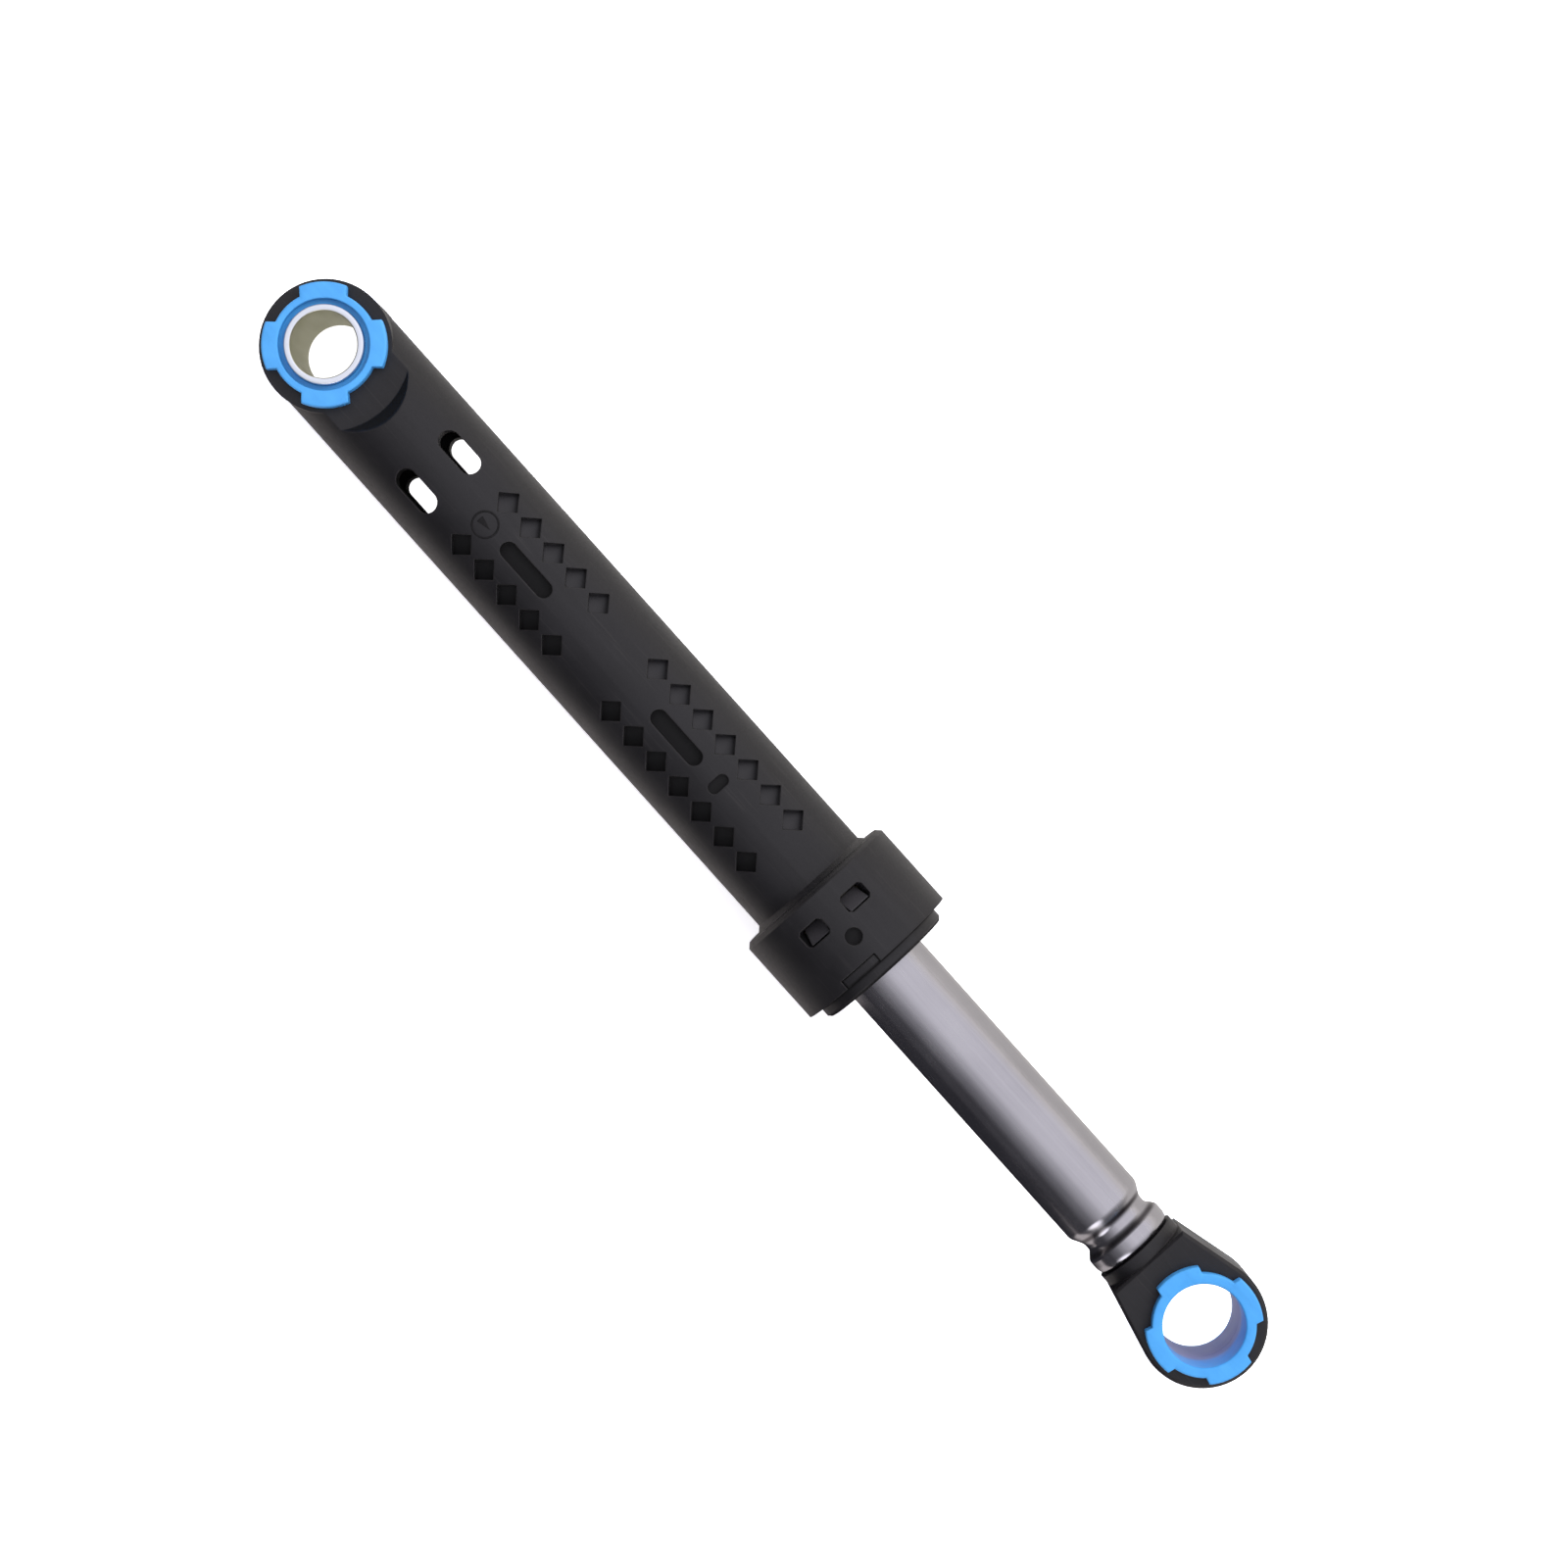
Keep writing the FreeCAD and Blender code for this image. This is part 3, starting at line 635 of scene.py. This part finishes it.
def makeDateRing():
    d = np.linspace(dateRing["middle"], dateRing["outer"], dateRing["rows"])[:, None]
    angle = np.linspace(0, fullTurn, dateRing["turns"], endpoint=False)[None, :]
    x, y = d * np.cos(angle), d * np.sin(angle)
    rimHalf = dateRing["rimWidth"] / 2
    across = (d - dateRing["outer"] + rimHalf) / rimHalf
    rim = np.sqrt(np.clip(1 - across ** 2, 0, 1))
    reach = dateRing["pointerReach"]
    pointerHalf = dateRing["pointerHalf"] * (1 - x / reach) / 2
    edge = np.clip((pointerHalf - np.abs(y)) / dateRing["pointerEdge"], 0, 1)
    inside = np.clip((reach - np.abs(x)) / dateRing["pointerEnd"], 0, 1)
    raised = np.maximum(rim, edge * inside)
    crest = np.where(rim > 0, dateRing["rim"], dateRing["pointer"])
    proud = dateRing["hidden"] + raised * (crest - dateRing["hidden"])
    skin = np.sqrt(dateRing["barrel"] ** 2 - y ** 2)
    top = np.stack([dateRing["x"] + x, y, skin + proud], axis=-1)
    under = np.stack([dateRing["x"] + x, y, skin - dateRing["sink"]], axis=-1)
    points = np.concatenate([top, under[::-1]]).transpose(1, 0, 2) * mm
    return gridMesh("dateRing", points)


# its finish paints it darker than the barrel, as painted shade in a sunk face
settle(makeDateRing(), "barrel", "mark")
print("lining and date ring made")

# floor: lies under the collar and the upper eye's flange, which the strut rests on
floorLook = dict(collarX=147.6, collarZ=-18.2, eyeX=-11.0, eyeZ=-12.9, half=14.0, paper=1.6, fibre=0.02,
                 glow=0.35, glowUnder=1.0, underSpan=(0.011, 0.0135), benchPlus=(0.86, 0.835, 0.77),
                 benchMinus=(0.97, 0.91, 0.85), benchSpan=(-0.03, 0.015), card=(0.05, 0.05, 0.056),
                 cardStart=(0.165, 0.175), cardEnd=(0.246, 0.256), cardSide=(0.002, -0.006),
                 farSide=(-0.09, -0.16), eyeGlow=0.26, eyeTint=(1.0, 0.98, 0.9), eyeReach=0.0085,
                 farEyeX=0.2645)


# a plane through the two resting places; the lens sees overexposed paper, which glows fully under the strut
# as painted light where the holes show it;
# the part sees a warm bench with a dark card beside the tube and dark beyond, and a glowing patch under each
# eye's bore, painted light for the bore's inside
def makeFloor():
    slope = (floorLook["collarZ"] - floorLook["eyeZ"]) / (floorLook["collarX"] - floorLook["eyeX"])
    ends = np.array([-1.0, 1.0]) * floorLook["half"]
    x, y = np.meshgrid(ends, ends)
    z = floorLook["collarZ"] * mm + slope * (x - floorLook["collarX"] * mm)
    floor = gridMesh("paleFloor", np.stack([x, y, z], axis=-1), closeRows=False, closeColumns=False)
    material, tree, shader, place = startMaterial("palePaper")
    link = tree.links.new
    tree.nodes.remove(shader)
    fibre = setInputs(addNode(tree, "ShaderNodeTexNoise"), Scale=60.0, Detail=3.0)
    link(place, fibre.inputs["Vector"])
    paper = np.full(3, floorLook["paper"])
    sheet = addNode(tree, "ShaderNodeBsdfDiffuse")
    thin, thick = tuple(paper * (1 - floorLook["fibre"])), tuple(paper * (1 + floorLook["fibre"]))
    link(mixColour(tree, fibre.outputs["Fac"], thin, thick), sheet.inputs["Color"])
    split = addNode(tree, "ShaderNodeSeparateXYZ")
    link(place, split.inputs["Vector"])
    off = combine(tree, "ABSOLUTE", split.outputs["Y"], 0.0)
    # painted light: the paper glows fully under the strut, so the floor seen through the holes is white
    glow = addNode(tree, "ShaderNodeEmission")
    glowing = mapValue(tree, off, *floorLook["underSpan"], floorLook["glowUnder"], floorLook["glow"])
    link(glowing, glow.inputs["Strength"])
    lit = addNode(tree, "ShaderNodeAddShader")
    link(sheet.outputs["BSDF"], lit.inputs[0])
    link(glow.outputs["Emission"], lit.inputs[1])
    side = mapValue(tree, split.outputs["Y"], *floorLook["benchSpan"], 0.0, 1.0)
    pastStart = mapValue(tree, split.outputs["X"], *floorLook["cardStart"], 0.0, 1.0)
    beforeEnd = mapValue(tree, split.outputs["X"], *floorLook["cardEnd"], 1.0, 0.0)
    beside = mapValue(tree, split.outputs["Y"], *floorLook["cardSide"], 0.0, 1.0)
    beyond = mapValue(tree, split.outputs["Y"], *floorLook["farSide"], 0.0, 1.0)
    onCard = combine(tree, "MULTIPLY", combine(tree, "MULTIPLY", pastStart, beforeEnd), beside)
    onCard = combine(tree, "MAXIMUM", onCard, beyond)
    bench = addNode(tree, "ShaderNodeBsdfDiffuse")
    benchTone = mixColour(tree, side, floorLook["benchMinus"], floorLook["benchPlus"])
    link(mixColour(tree, onCard, benchTone, floorLook["card"]), bench.inputs["Color"])
    # painted light: a warm glowing patch under each eye's bore
    farther = combine(tree, "SUBTRACT", split.outputs["X"], floorLook["farEyeX"])
    alongEye = combine(tree, "MINIMUM", combine(tree, "ABSOLUTE", split.outputs["X"], 0.0),
                       combine(tree, "ABSOLUTE", farther, 0.0))
    inEye = combine(tree, "LESS_THAN", combine(tree, "MAXIMUM", alongEye, off), floorLook["eyeReach"])
    shine = setInputs(addNode(tree, "ShaderNodeEmission"), Color=(*floorLook["eyeTint"], 1.0))
    link(combine(tree, "MULTIPLY", inEye, floorLook["eyeGlow"]), shine.inputs["Strength"])
    benchLit = addNode(tree, "ShaderNodeAddShader")
    link(bench.outputs["BSDF"], benchLit.inputs[0])
    link(shine.outputs["Emission"], benchLit.inputs[1])
    either = addNode(tree, "ShaderNodeMixShader")
    link(addNode(tree, "ShaderNodeLightPath").outputs["Is Camera Ray"], either.inputs["Fac"])
    link(benchLit.outputs["Shader"], either.inputs[1])
    link(lit.outputs["Shader"], either.inputs[2])
    surface = next(each for each in tree.nodes if each.bl_idname == "ShaderNodeOutputMaterial")
    link(either.outputs["Shader"], surface.inputs["Surface"])
    floor.data.materials.append(material)


makeFloor()

# light: a broad soft lamp from +Y that leaves no glint, and a surround that fades from bright on that side to
# dark on the other, and to dim beyond the strut's two ends, with a soft patch of light low on the dark side,
# towards +X
lamps = [
    dict(name="keyLamp", place=(0.1, 0.62, 0.72), aim=(0.12, 0.0, 0.0), size=0.4, watts=3.0),
]
surround = dict(bright=(1.02, 1.0, 1.06), dark=(0.072, 0.07, 0.078), fadeSpan=(-68.0, 2.0), fadePower=1.6,
                endSpan=(0.45, 0.9), endTone=0.1, sideLight=(0.7, -0.55, 0.46), sideReach=21.0,
                sideCore=10.0, sideTone=2.4, horizon=(1.04, 0.985, 0.91), horizonTo=0.45,
                backdrop=(1.0, 1.0, 1.0), strength=1.3)


def aimed(place, aim):
    back = np.array(place) - np.array(aim)
    back /= np.linalg.norm(back)
    right = np.cross([0.0, 0.0, 1.0], back)
    right /= np.linalg.norm(right)
    up = np.cross(back, right)
    return Matrix([[right[i], up[i], back[i], place[i]] for i in range(3)] + [[0, 0, 0, 1]])


for lamp in lamps:
    data = bpy.data.lights.new(lamp["name"], "AREA")
    data.shape = "DISK"
    data.size = lamp["size"]
    data.energy = lamp["watts"]
    lampObject = bpy.data.objects.new(lamp["name"], data)
    lampObject.matrix_world = aimed(lamp["place"], lamp["aim"])
    lampObject.visible_glossy = False
    bpy.context.scene.collection.objects.link(lampObject)


# the angle from straight up towards +Y picks the surround's tone, less towards either end of the strut and
# warmer near the horizon; the lens sees a white backdrop
def makeSurround():
    world = bpy.data.worlds.new("studioSurround")
    world.use_nodes = True
    tree = world.node_tree
    link = tree.links.new
    heading = addNode(tree, "ShaderNodeSeparateXYZ")
    direction = addNode(tree, "ShaderNodeTexCoord").outputs["Generated"]
    link(direction, heading.inputs["Vector"])
    lean = combine(tree, "ARCTAN2", heading.outputs["Y"], heading.outputs["Z"])
    tone = mapValue(tree, lean, *np.radians(surround["fadeSpan"]), 0.0, 1.0)
    tone = combine(tree, "POWER", tone, surround["fadePower"])
    endwise = combine(tree, "ABSOLUTE", heading.outputs["X"], 0.0)
    atEnds = mapValue(tree, endwise, *surround["endSpan"], 1.0, surround["endTone"])
    tone = combine(tree, "MULTIPLY", tone, atEnds)
    facing = addNode(tree, "ShaderNodeVectorMath", operation="DOT_PRODUCT")
    link(direction, facing.inputs[0])
    facing.inputs[1].default_value = np.array(surround["sideLight"]) / np.linalg.norm(surround["sideLight"])
    rim, core = np.cos(np.radians([surround["sideReach"], surround["sideCore"]]))
    patch = mapValue(tree, facing.outputs["Value"], rim, core, 0.0, surround["sideTone"])
    height = mapValue(tree, heading.outputs["Z"], 0.0, surround["horizonTo"], 0.0, 1.0)
    bright = mixColour(tree, height, surround["horizon"], surround["bright"])
    mix = mixColour(tree, combine(tree, "MAXIMUM", tone, patch), surround["dark"], bright)
    mix.node.clamp_factor = False
    toLens = addNode(tree, "ShaderNodeLightPath").outputs["Is Camera Ray"]
    background = tree.nodes["Background"]
    link(mixColour(tree, toLens, mix, surround["backdrop"]), background.inputs["Color"])
    background.inputs["Strength"].default_value = surround["strength"]
    bpy.context.scene.world = world


makeSurround()
bpy.context.scene.view_settings.view_transform = "Standard"

# camera: place and axes that carry the strut's known points on to the picture
view = dict(place=(124.9, 21.89, 709.58), right=(0.66779, 0.74427, -0.01068),
            up=(-0.74434, 0.66765, -0.01401), back=(-0.0033, 0.0173, 0.99984), lens=79.83, sensor=36.0)
cameraData = bpy.data.cameras.new("camera")
cameraData.sensor_width = view["sensor"]
cameraData.lens = view["lens"]
camera = bpy.data.objects.new("camera", cameraData)
camera.matrix_world = Matrix([[view["right"][i], view["up"][i], view["back"][i], view["place"][i] * mm]
                              for i in range(3)] + [[0, 0, 0, 1]])
bpy.context.scene.collection.objects.link(camera)
bpy.context.scene.camera = camera
print("floor, light and camera set")
